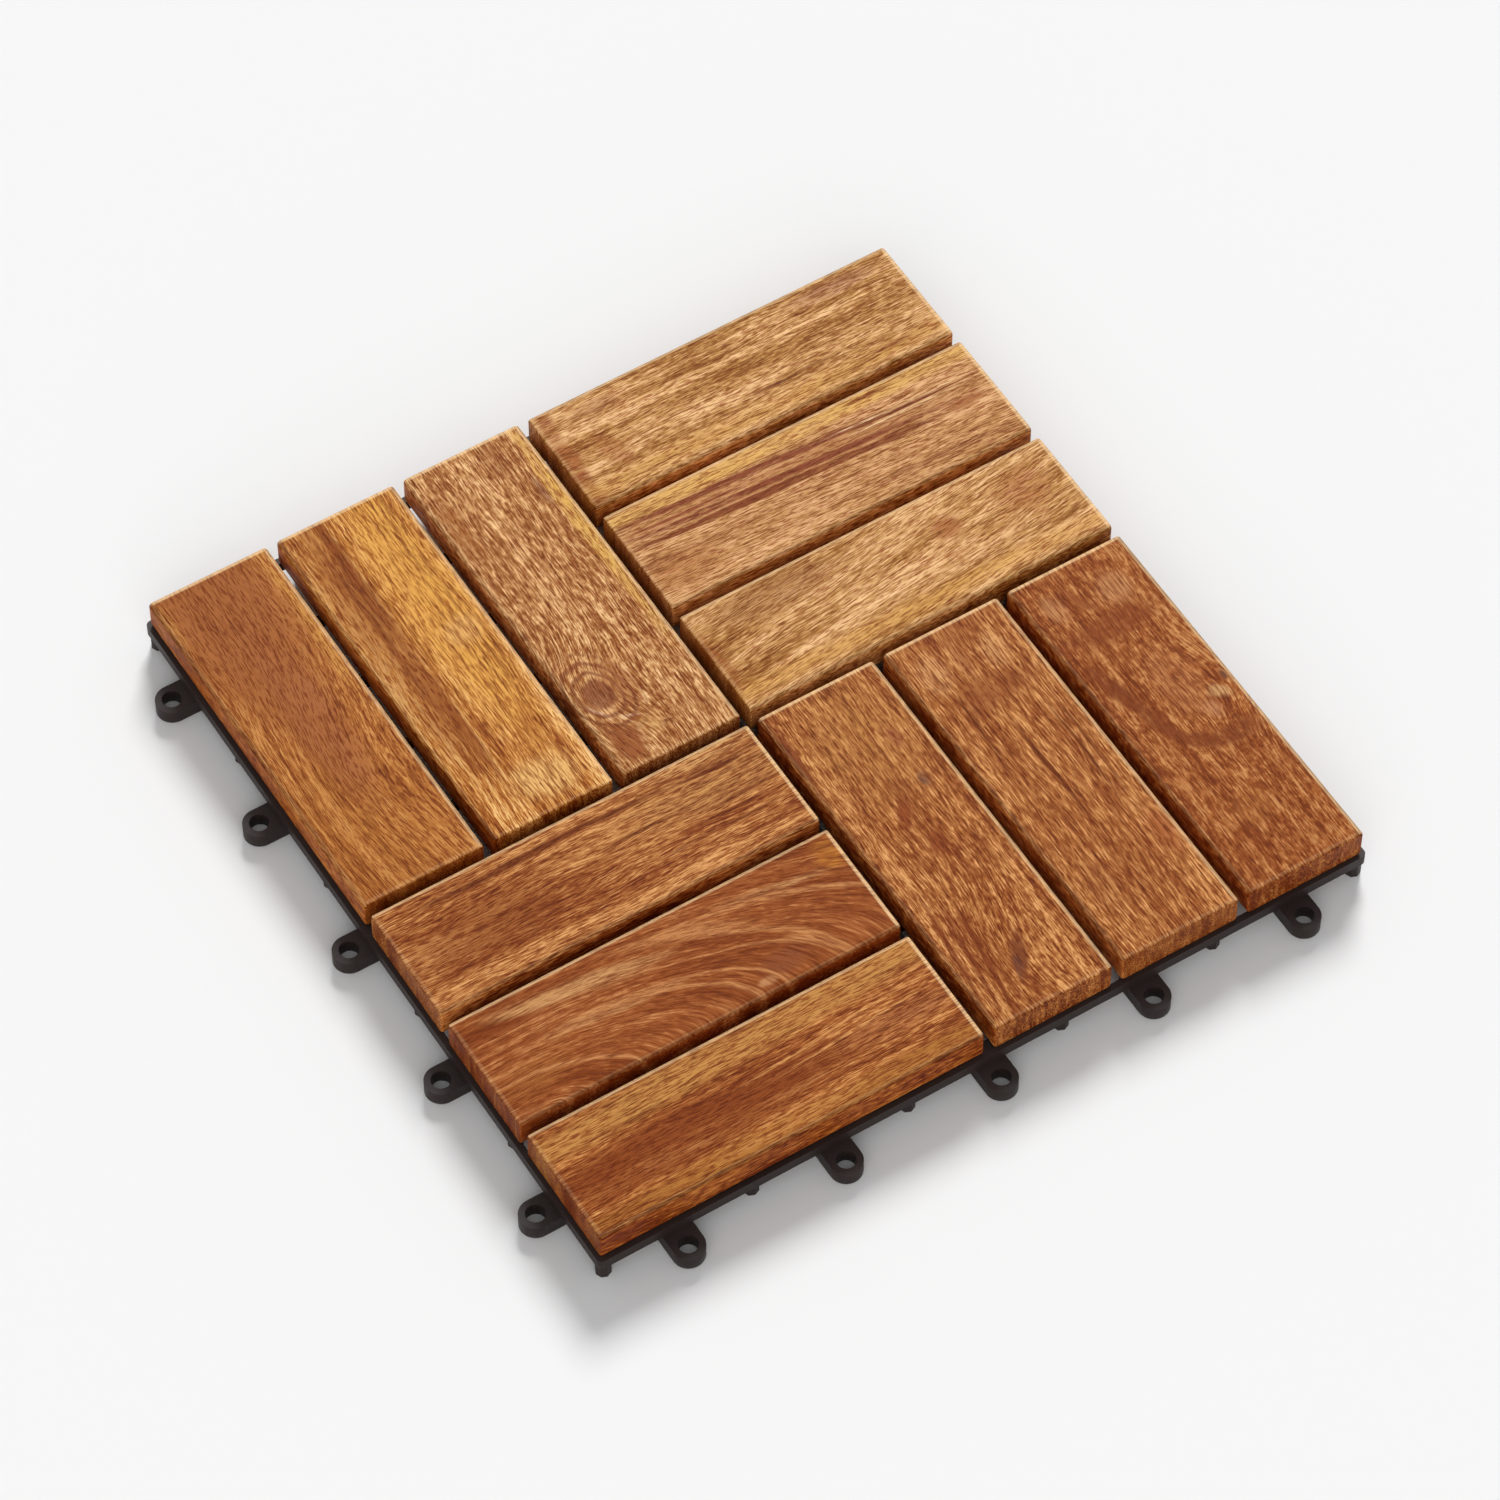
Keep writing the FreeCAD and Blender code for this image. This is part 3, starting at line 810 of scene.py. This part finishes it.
@dataclass
class ScrewPair:
    """The two pan-head screws that hold one slat, seen from below in their pillars."""

    node: str
    head_radius: float = 3.4
    head_depth: float = 2.1
    shank_radius: float = 1.7
    recess_width: float = 0.95
    recess_reach: float = 1.9
    recess_depth: float = 1.3
    floor_reach: float = 0.62
    floor_width: float = 0.8
    point_length: float = 2.5
    steps: int = 32

    def build(self, steel: bpy.types.Material) -> bpy.types.Object:
        """Head both screws, cut their cross recesses and set them in their pillars.

        Args:
            steel: The material for the screws.

        Returns:
            The pair as one object.
        """
        low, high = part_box(self.node)
        middle = (low + high) / 2
        radius = min(high.x - low.x, high.y - low.y) / 2
        along_x = high.x - low.x > high.y - low.y
        reach = max(high.x - low.x, high.y - low.y) / 2 - radius
        step = Vector((reach, 0, 0)) if along_x else Vector((0, reach, 0))
        mesh = bmesh.new()
        for side in (-1, 1):
            spot = Vector((middle.x, middle.y, low.z)) + side * step
            self._turn(mesh, spot, (high.z - low.z) / MM)
        pair = finish_mesh(mesh, f"{self.node}_headed", sharp=35.0)
        pair.data.materials.append(steel)
        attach(pair, ROOT_BODY)
        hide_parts(self.node)
        log.info("screws %s: pan heads %.1f mm across", self.node, 2 * self.head_radius)
        return pair

    def _turn(self, mesh: bmesh.types.BMesh, spot: Vector, length: float) -> None:
        """Turn one screw with its head down and sink a cross in the head.

        Args:
            mesh: The working mesh.
            spot: The middle of the head's lowest face, in metres.
            length: The screw's whole length in millimetres.
        """
        head, shank = self.head_radius, self.shank_radius
        # radius and height, from the flat round the recess over the domed head to the point
        outline = [
            (self.recess_reach * 1.25, 0.0),
            (head * 0.72, 0.12),
            (head * 0.93, 0.5),
            (head, 1.0),
            (head, self.head_depth),
            (shank, self.head_depth + 0.05),
            (shank, length - self.point_length),
            (0.12, length),
        ]
        rings = []
        for radius, height in outline:
            ring = []
            for index in range(self.steps):
                angle = 2 * math.pi * index / self.steps
                point = Vector((radius * math.cos(angle), radius * math.sin(angle), height))
                ring.append(mesh.verts.new(spot + point * MM))
            rings.append(ring)
        for lower, upper in zip(rings, rings[1:]):
            for index in range(self.steps):
                after = (index + 1) % self.steps
                mesh.faces.new((lower[index], lower[after], upper[after], upper[index]))
        mesh.faces.new(rings[-1])
        self._cross(mesh, spot, rings[0])

    def _cross(self, mesh: bmesh.types.BMesh, spot: Vector, rim: list[bmesh.types.BMVert]) -> None:
        """Close the head with a flat that holds a tapered cross recess.

        Args:
            mesh: The working mesh.
            spot: The middle of the head's lowest face, in metres.
            rim: The ring of points round the flat.
        """
        half, reach = self.recess_width / 2, self.recess_reach
        corners = [(reach, -half), (reach, half), (half, half)]
        levels = ((1.0, 1.0, 0.0), (self.floor_reach, self.floor_width, self.recess_depth))
        loops = []
        for reach_share, width_share, depth in levels:
            loop = []
            for quarter in range(4):
                turn = Matrix.Rotation(quarter * math.pi / 2, 3, "Z")
                for x, y in corners:
                    point = turn @ Vector((x * reach_share, y * width_share, 0.0))
                    loop.append(mesh.verts.new(spot + Vector((point.x, point.y, depth)) * MM))
            loops.append(loop)
        mouth, floor = loops
        total = len(mouth)
        for index in range(total):
            after = (index + 1) % total
            mesh.faces.new((mouth[index], mouth[after], floor[after], floor[index]))
        mesh.faces.new(floor)
        edges = []
        for loop in (rim, mouth):
            count = len(loop)
            for index in range(count):
                pair = (loop[index], loop[(index + 1) % count])
                edges.append(mesh.edges.get(pair) or mesh.edges.new(pair))
        bmesh.ops.triangle_fill(mesh, use_beauty=True, edges=edges)


@dataclass
class BaseGrid:
    """The moulded base: grid, feet, pins, loops and screw pillars in one piece."""

    node: str = "base_grid"
    edge_round: float = 0.3
    sharp: float = 50.0

    def dress(self, nodes: dict[str, bpy.types.Object], plastic: bpy.types.Material) -> None:
        """Soften the moulding's edges and give it its plastic.

        Args:
            nodes: The solids by name.
            plastic: The material for the moulding.
        """
        base = nodes[self.node]
        base.data.materials.clear()
        base.data.materials.append(plastic)
        weld = base.modifiers.new("one skin", "WELD")
        weld.merge_threshold = NEAR
        edges = base.modifiers.new("moulded edges", "BEVEL")
        edges.width = self.edge_round * MM
        edges.segments = 2
        edges.limit_method = "ANGLE"
        edges.angle_limit = math.radians(self.sharp)
        edges.harden_normals = True
        log.info("base %s: edges rounded by %.1f mm", self.node, self.edge_round)


@dataclass
class Studio:
    """A pale floor, soft light from behind, a weaker fill from the front and the camera."""

    camera_place: Triple = (-0.699, -1.121, 1.879)
    target: Triple = (-0.002, -0.004, 0.010)
    lens: float = 163.0
    key_direction: Triple = (0.50, 0.62, 0.62)
    key_strength: float = 2.5
    key_softness: float = 20.0
    fill_direction: Triple = (-0.45, -0.70, 0.50)
    fill_strength: float = 1.0
    fill_softness: float = 60.0
    sky_strength: float = 0.36
    floor_size: float = 30.0
    floor_drop: float = 0.0002
    floor_colour: str = "#F6F6F6"

    def build(self) -> None:
        """Set up the floor, the light and the camera."""
        self._floor()
        self._light()
        self._camera()
        log.info("studio: floor, key and fill lights, sky and camera")

    def _floor(self) -> None:
        """Lay a plain pale floor that keeps the tile's shadow."""
        mesh = bmesh.new()
        bmesh.ops.create_grid(mesh, x_segments=1, y_segments=1, size=self.floor_size / 2)
        data = bpy.data.meshes.new("studio_floor")
        mesh.to_mesh(data)
        mesh.free()
        floor = bpy.data.objects.new("studio_floor", data)
        floor.location.z = -self.floor_drop
        bpy.context.scene.collection.objects.link(floor)
        material, _, shader = new_material("matt_paper")
        shader.inputs["Base Color"].default_value = linear(self.floor_colour)
        shader.inputs["Roughness"].default_value = 0.9
        shader.inputs["Specular IOR Level"].default_value = 0.1
        data.materials.append(material)

    def _light(self) -> None:
        """Light the tile from behind and more weakly from the front, under an even sky."""
        self._lamp("key", self.key_direction, self.key_strength, self.key_softness)
        self._lamp("fill", self.fill_direction, self.fill_strength, self.fill_softness)
        world = bpy.data.worlds.new("studio_sky")
        bpy.context.scene.world = world
        world.use_nodes = True
        tree = world.node_tree
        tree.nodes.clear()
        path = add_node(tree, "LightPath").outputs
        rays = {0: path["Is Camera Ray"], 1: path["Is Glossy Ray"]}
        seen = add_node(tree, "Math", rays, operation="MAXIMUM").outputs[0]
        rays = {0: seen, 1: path["Is Transmission Ray"]}
        seen = add_node(tree, "Math", rays, operation="MAXIMUM").outputs[0]
        levels = {0: seen, 2: self.sky_strength, 3: 1.0}
        strength = add_node(tree, "Mix", levels, data_type="FLOAT").outputs[0]
        sky = add_node(tree, "Background", {0: (1.0, 1.0, 1.0, 1.0), 1: strength}).outputs[0]
        add_node(tree, "OutputWorld", {0: sky})

    def _lamp(self, name: str, direction: Triple, strength: float, softness: float) -> None:
        """Hang one broad light a long way off.

        Args:
            name: The light's name.
            direction: Where the light comes from.
            strength: Its strength.
            softness: How wide it looks from the tile, in degrees.
        """
        lamp = bpy.data.lights.new(name, "SUN")
        lamp.energy = strength
        lamp.angle = math.radians(softness)
        holder = bpy.data.objects.new(name, lamp)
        holder.rotation_euler = Vector(direction).to_track_quat("Z", "Y").to_euler()
        bpy.context.scene.collection.objects.link(holder)

    def _camera(self) -> None:
        """Set the camera at the photograph's viewing angle."""
        data = bpy.data.cameras.new("camera")
        data.lens = self.lens
        data.sensor_width = 36.0
        data.clip_end = 50.0
        camera = bpy.data.objects.new("camera", data)
        camera.location = self.camera_place
        aim = Vector(self.camera_place) - Vector(self.target)
        camera.rotation_euler = aim.to_track_quat("Z", "Y").to_euler()
        bpy.context.scene.collection.objects.link(camera)
        bpy.context.scene.camera = camera
        bpy.context.scene.view_settings.view_transform = "Standard"


GOLDEN = OiledHardwood("#7E3A0C", "#B06A2A", "#DA9C54", "#FAC880")
TAN = OiledHardwood("#8A5020", "#B48244", "#D6A26A", "#F6C890")
REDDISH = OiledHardwood("#6A2A08", "#843F16", "#A05A2C", "#CC8C56", pores=0.45)
BROWN = OiledHardwood("#6C2A0A", "#8C481C", "#B46E36", "#E2A262")
WARM = OiledHardwood("#72300E", "#965224", "#BA7A42", "#E4A668")


def slat_woods() -> dict[str, OiledHardwood]:
    """Describe the figure of each slat.

    Returns:
        The wood of each slat by its node's name.
    """
    red, gold, pale, deep = "#843E18", "#C48C4A", "#D8A468", "#6A2F10"
    return {
        "slat_front_left_outer": replace(
            BROWN,
            seed=5.3,
            patches=(
                Patch(0, 15.5, 420, 17, gold, 0.75, 1.5),
                Patch(-24, -4, 160, 26, red, 0.8),
                Patch(52, -3, 60, 14, "#B87646", 0.5),
                Patch(0, -19, 400, 11, "#B07434", 0.6),
                Patch(31, 4.5, 96, 1.8, "#D89A5A", 0.8, 4),
                Patch(39, 0.8, 76, 1.5, "#D89A5A", 0.7, 4),
            ),
        ),
        "slat_front_left_middle": replace(
            REDDISH,
            seed=7.9,
            rings=0.35,
            lines=0.9,
            streaks=0.4,
            fibres=0.75,
            wander=1.3,
            arches=(Arch(-64, -23, 3.2),),
            patches=(
                Patch(-30, 13, 84, 9, "#CC9660", 0.8, -8),
                Patch(-24, -1, 66, 5, "#C08A58", 0.6, -6),
                Patch(46, 12, 60, 4, "#C08A58", 0.6, -10),
                Patch(-60, 12.5, 42, 5, "#7A3512", 0.7, -5),
                Patch(-60, -9, 40, 18, "#A86832", 0.4),
                Patch(68, 14, 14, 20, "#BC762E", 0.7),
                Patch(24, -18, 10, 5, "#C89060", 0.7),
                Patch(33, -14, 26, 12, "#80452A", 0.5),
            ),
        ),
        "slat_front_left_inner": replace(
            WARM,
            seed=9.1,
            pores=0.85,
            wander=2.2,
            patches=(
                Patch(-45, -2, 84, 30, "#8E4E24", 0.5),
                Patch(45, 8, 130, 26, "#CA9256", 0.5),
                Patch(55, 20, 70, 7, pale, 0.5),
                Patch(-12, 15.8, 120, 3.4, deep, 1.1),
                Patch(53, 14, 30, 2.2, deep, 1.1, -2),
                Patch(20, 5, 40, 1.8, deep, 0.9, -2),
                Patch(48, -3.5, 44, 1.8, deep, 0.9),
                Patch(55, 0.5, 36, 2.2, deep, 0.8),
                Patch(45, -8.5, 60, 2.4, deep, 0.8, 2),
                Patch(25, -16.5, 28, 3, "#D09458", 0.6, 8),
            ),
        ),
        "slat_front_right_inner": replace(
            WARM,
            seed=11.7,
            tone=0.45,
            mottle=0.6,
            swirls=(Swirl(-52, -1, 90, 40, 5),),
            patches=(
                Patch(45, 2, 76, 54, "#C48A4C", 0.4),
                Patch(52, -20.5, 40, 3.5, "#7C3A1C", 0.8),
                Patch(14, -1.5, 20, 7, "#8C4420", 0.9, 30),
                Patch(-1, 1.5, 14, 8, "#8C4420", 0.8, 20),
                Patch(41, 12, 14, 7, "#9A5434", 0.6),
                Patch(21.5, 11.5, 10, 5.5, "#6A4438", 0.7),
                Patch(-48, -11, 66, 2.6, "#7C3A18", 1.0, 7),
                Patch(-45, -15, 66, 2.4, "#7C3A18", 0.95, 7),
                Patch(-42, -18.8, 70, 2.4, "#7C3A18", 0.9, 6),
                Patch(-53, -0.5, 26, 7, "#7A4022", 1.0, 22),
                Patch(-56, -2.6, 12, 4, "#5A3430", 0.8, 15),
            ),
        ),
        "slat_front_right_middle": replace(
            WARM,
            seed=13.2,
            tone=0.35,
            streaks=0.55,
            mottle=0.35,
            patches=(
                Patch(69, 0, 12, 50, "#A05C30", 0.5),
                Patch(57, -13, 22, 15, "#D8A068", 0.6),
                Patch(56, 10.5, 22, 13, "#D8A068", 0.55),
                Patch(57, -1.5, 24, 8, "#9A5A34", 0.55),
                Patch(42, 2, 16, 46, "#8A4822", 0.55, 6),
                Patch(36, -6, 12, 24, "#8A4822", 0.4, -8),
                Patch(30, -12, 40, 2.2, deep, 0.9),
                Patch(0, -0.4, 74, 2.2, deep, 0.9),
                Patch(5, 13, 60, 2.0, deep, 0.8),
                Patch(5, 16.5, 54, 1.8, deep, 0.7),
                Patch(-37, 17.5, 28, 12, "#A0522A", 0.55),
                Patch(-46, -12, 30, 14, "#B87C48", 0.4),
            ),
        ),
        "slat_front_right_outer": replace(
            REDDISH,
            seed=15.8,
            middle_light="#A8622F",
            light="#CC9058",
            tone=0.3,
            streaks=0.25,
            mottle=0.7,
            swirls=(Swirl(2, 25, 70, 44, -6),),
            patches=(
                Patch(57, -13.5, 18, 12, "#C48A5A", 0.6),
                Patch(56, 9, 20, 18, "#C48A5A", 0.55),
                Patch(57, -4, 22, 5, "#94502A", 0.6, -20),
                Patch(42, -1, 16, 52, "#884420", 0.65, -4),
                Patch(12, 5, 40, 24, "#B8784A", 0.4),
                Patch(17, -14, 40, 8, "#783818", 0.8, -15),
                Patch(-2, -9, 26, 8, "#783818", 0.8, -24),
                Patch(-12, -1, 20, 9, "#783818", 0.8, -50),
                Patch(-16, 11, 11, 28, "#783818", 0.65, 4),
                Patch(-4, 9, 14, 9, "#C08458", 0.5, -40),
                Patch(0, 15, 12, 7, "#D0A06C", 0.8, -50),
                Patch(5, 20, 6, 3, "#6E4430", 0.8),
                Patch(-45, -3, 18, 18, "#B0703A", 0.4),
            ),
        ),
        "slat_back_left_outer": replace(
            GOLDEN,
            seed=17.4,
            dark="#7C3C0E",
            middle_dark="#A05C26",
            middle_light="#B8763A",
            light="#D49654",
            streaks=0.8,
            swirls=(Swirl(-30, 0, 150, 60, 9),),
            patches=(
                Patch(-44, 0, 100, 60, "#BC7C38", 0.3),
                Patch(52, -3, 140, 58, "#A26034", 0.9),
                Patch(0, 1, 100, 26, "#A46238", 0.8),
                Patch(40, 19.5, 110, 6, "#CC9048", 0.8),
                Patch(60, -21, 36, 6, "#C08444", 0.6),
            ),
        ),
        "slat_back_left_middle": replace(
            GOLDEN,
            seed=19.6,
            streaks=0.8,
            patches=(
                Patch(20, -14, 190, 24, "#A86C38", 0.6),
                Patch(25, 9.5, 190, 34, "#E4A850", 0.75),
                Patch(44, -8, 100, 7, "#804018", 0.85),
                Patch(52, -12.5, 50, 3, "#8A4A22", 0.8),
                Patch(20, -12, 110, 4, "#884A20", 0.8),
                Patch(-25, -8.5, 90, 6, "#8C4A1E", 0.7),
                Patch(-60, 5, 24, 36, "#F0C078", 0.6),
                Patch(7, 11.5, 18, 18, "#ECBC7C", 0.4),
                Patch(-38, 12, 22, 10, "#B4702C", 0.5),
                Patch(-50, 17, 10, 4, "#9A5020", 0.6),
            ),
        ),
        "slat_back_left_inner": replace(
            TAN,
            seed=21.9,
            dark="#86481C",
            middle_dark="#A86C3A",
            pores=0.85,
            tone=0.3,
            streaks=0.3,
            mottle=0.6,
            swirls=(Swirl(-40, -13, 70, 44, 6),),
            knots=(Knot(-40.4, -12.8, 15, 9.4, -14),),
            patches=(
                Patch(25, 19.5, 140, 7.5, "#E2B25C", 0.8),
                Patch(43, 15.5, 18, 4.5, "#98694E", 0.6),
                Patch(44, -18, 44, 11, "#A0602E", 0.5),
                Patch(62, 8, 28, 11, "#A0683C", 0.5),
                Patch(-39, -6, 30, 16, "#B47848", 0.6),
                Patch(-62, -14.5, 22, 14, "#96562E", 1.1, 10),
                Patch(-46, -16.5, 16, 1.8, "#DCB492", 0.9, -30),
                Patch(-53.5, -8.5, 9, 1.8, "#DCB492", 0.8, -68),
                Patch(-60, -4, 12, 10, "#D4A464", 0.5),
                Patch(-62, 0.5, 2.0, 6, "#7E4A26", 0.7),
                Patch(-62, 16, 2.0, 6, "#7E4A26", 0.6),
            ),
        ),
        "slat_back_right_inner": replace(
            TAN,
            seed=24.3,
            tilt=-0.12,
            patches=(
                Patch(-40, 14, 66, 20, "#AC7A50", 0.5),
                Patch(24.5, 6.5, 15, 14, "#AE683E", 0.65),
                Patch(56, 6.5, 28, 24, "#B06C40", 0.5, 30),
                Patch(0, -16.5, 400, 10, "#DCA65A", 0.55),
                Patch(-71, 0, 6, 44, "#A05C30", 0.6),
            ),
        ),
        "slat_back_right_middle": replace(
            TAN,
            seed=26.5,
            tilt=0.035,
            wander=1.0,
            patches=(
                Patch(0, 0, 400, 90, "#E0A67E", 0.25),
                Patch(-60, -12, 34, 22, "#B67644", 0.5),
                Patch(0, 18.5, 400, 9, "#E4B464", 0.75),
                Patch(-12, 7, 190, 14, "#B87F52", 0.65, -3),
                Patch(-10, 12, 170, 3.6, "#86442A", 1.5, -3),
                Patch(-48, 9.8, 60, 1.8, "#904E30", 0.9, -3),
                Patch(-10, 5, 160, 3.8, "#86442A", 1.6, -2.9),
                Patch(-12, 1.4, 150, 3.8, "#804022", 1.7, -3),
                Patch(33, -0.6, 26, 5.5, "#804020", 1.3),
                Patch(40, 8.6, 70, 1.2, "#74391E", 1.1, -1.5),
                Patch(38, 10.0, 70, 1.2, "#EFCB9A", 0.9, -1.5),
                Patch(42, 7.0, 64, 1.3, "#EFCB9A", 0.8, -1.5),
                Patch(60, -1, 24, 6, "#A4643A", 0.7),
                Patch(33, 19.3, 28, 2.6, "#8A4A20", 0.9),
            ),
        ),
        "slat_back_right_outer": replace(
            TAN,
            seed=28.8,
            mottle=0.4,
            patches=(
                Patch(-69.5, 0, 9, 90, "#A05A30", 0.65),
                Patch(-54.5, -3.5, 12, 26, "#AC6A3C", 0.5, 20),
                Patch(-52, 15, 28, 9, "#A87048", 0.5),
                Patch(48, 16.5, 50, 10, "#B68266", 0.5),
                Patch(0, -17, 400, 10, "#DAA65C", 0.5),
                Patch(15, -9.5, 48, 2.0, deep, 0.7),
                Patch(52, -15.5, 20, 2.6, "#8A4A20", 0.75),
            ),
        ),
    }


def main() -> None:
    """Build the tile's pieces in order, then the studio."""
    logging.basicConfig(level=logging.INFO, format="%(name)s: %(message)s")
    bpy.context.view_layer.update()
    plastic = MouldedPolypropylene().material("moulded_polypropylene")
    steel = ZincPlatedSteel().material("zinc_plated_steel")
    BaseGrid().dress(frame["nodes"], plastic)

    slots = {part["node"]: part["material_slot"] for part in frame["record"]["subparts"]}
    for node, wood in slat_woods().items():
        low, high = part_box(node)
        run = Run.ALONG_X if high.x - low.x > high.y - low.y else Run.ALONG_Y
        Slat(node, run, wood, slots[node]).build()
        ScrewPair(node.replace("slat_", "screws_")).build(steel)
    Studio().build()


if __name__ == "__main__":
    main()
